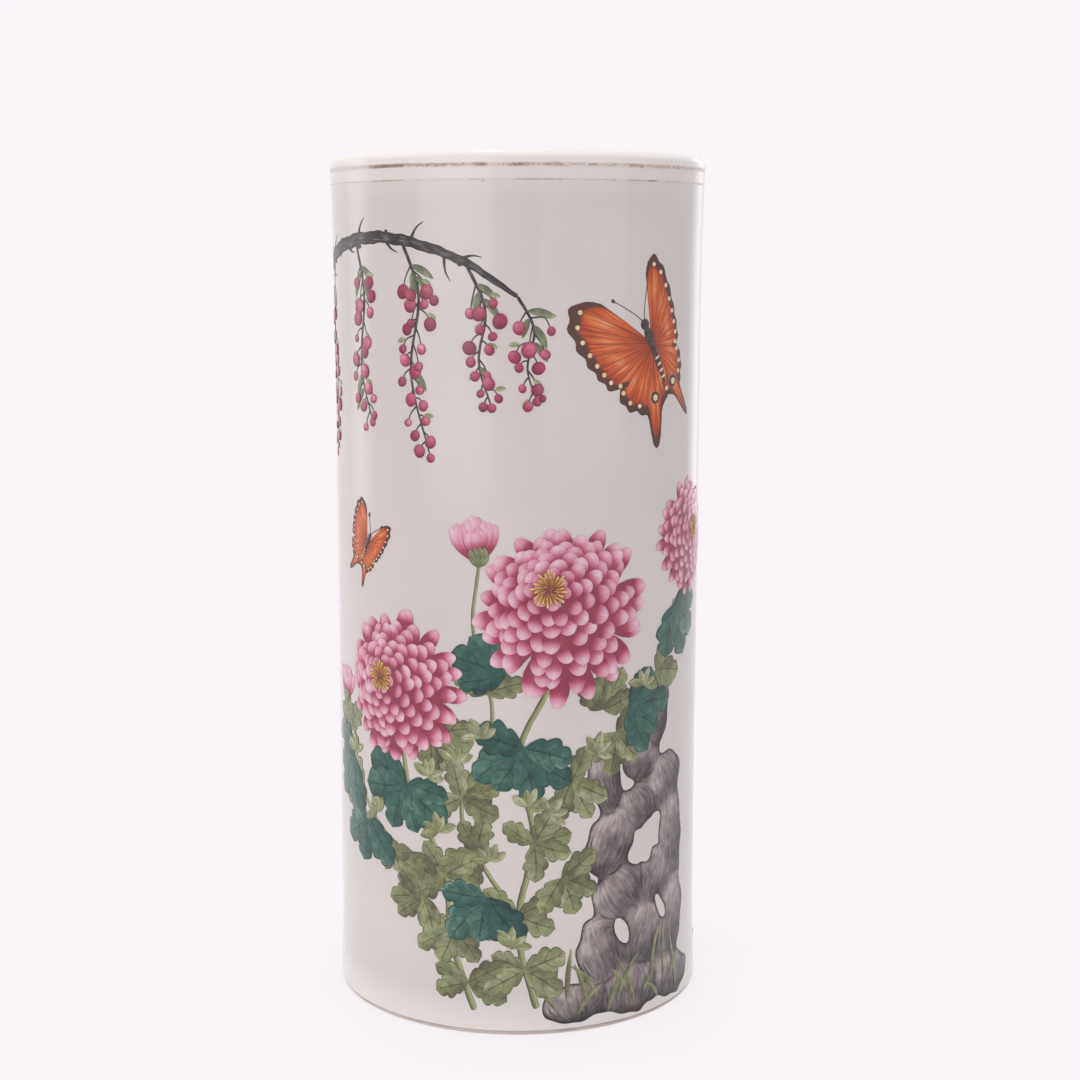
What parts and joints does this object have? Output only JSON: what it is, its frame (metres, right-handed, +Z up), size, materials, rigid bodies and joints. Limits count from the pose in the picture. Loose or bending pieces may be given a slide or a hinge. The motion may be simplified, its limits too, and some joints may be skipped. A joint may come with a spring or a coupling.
{
  "type": "brush pot",
  "caption": "Tall glazed porcelain cylinder with a full round lip, a luted base, a bare standing ring and gilt lines under the lip, open at the top to hold brushes.",
  "frame": {"origin": "centre of the standing ring, on the table", "axes": "+Z up along the pot's axis, out of the mouth; -Y towards the side that the picture shows"},
  "size_m": [0.1242, 0.1242, 0.28],
  "materials": {
    "biscuit_porcelain": "matt, unglazed, fired to a pale buff at the edge",
    "fired_slip": "matt, smoothed by hand",
    "clear_glaze": "glossy, pale warm grey white",
    "worn_gilding": "rubbed gilding, brown where it has worn",
    "rose_enamel": "overglaze enamel, washed from deep rose to opaque white",
    "leaf_enamel": "overglaze enamel, translucent blue green and moss green",
    "iron_red_enamel": "overglaze iron red, thin and satin, drawn in fine hairs",
    "yellow_enamel": "overglaze enamel, opaque yellow, raised",
    "bark_enamel": "overglaze enamel, grey brown over dark drawing"
  },
  "bodies": {
    "root": {"porcelain_wall": "biscuit_porcelain", "base_disc": "biscuit_porcelain", "luting_slip": "fired_slip", "outer_glaze": "clear_glaze", "inner_glaze": "clear_glaze", "base_glaze": "clear_glaze", "rim_gilt_line": "worn_gilding", "neck_gilt_line": "worn_gilding"}
  },
  "joints": []
}
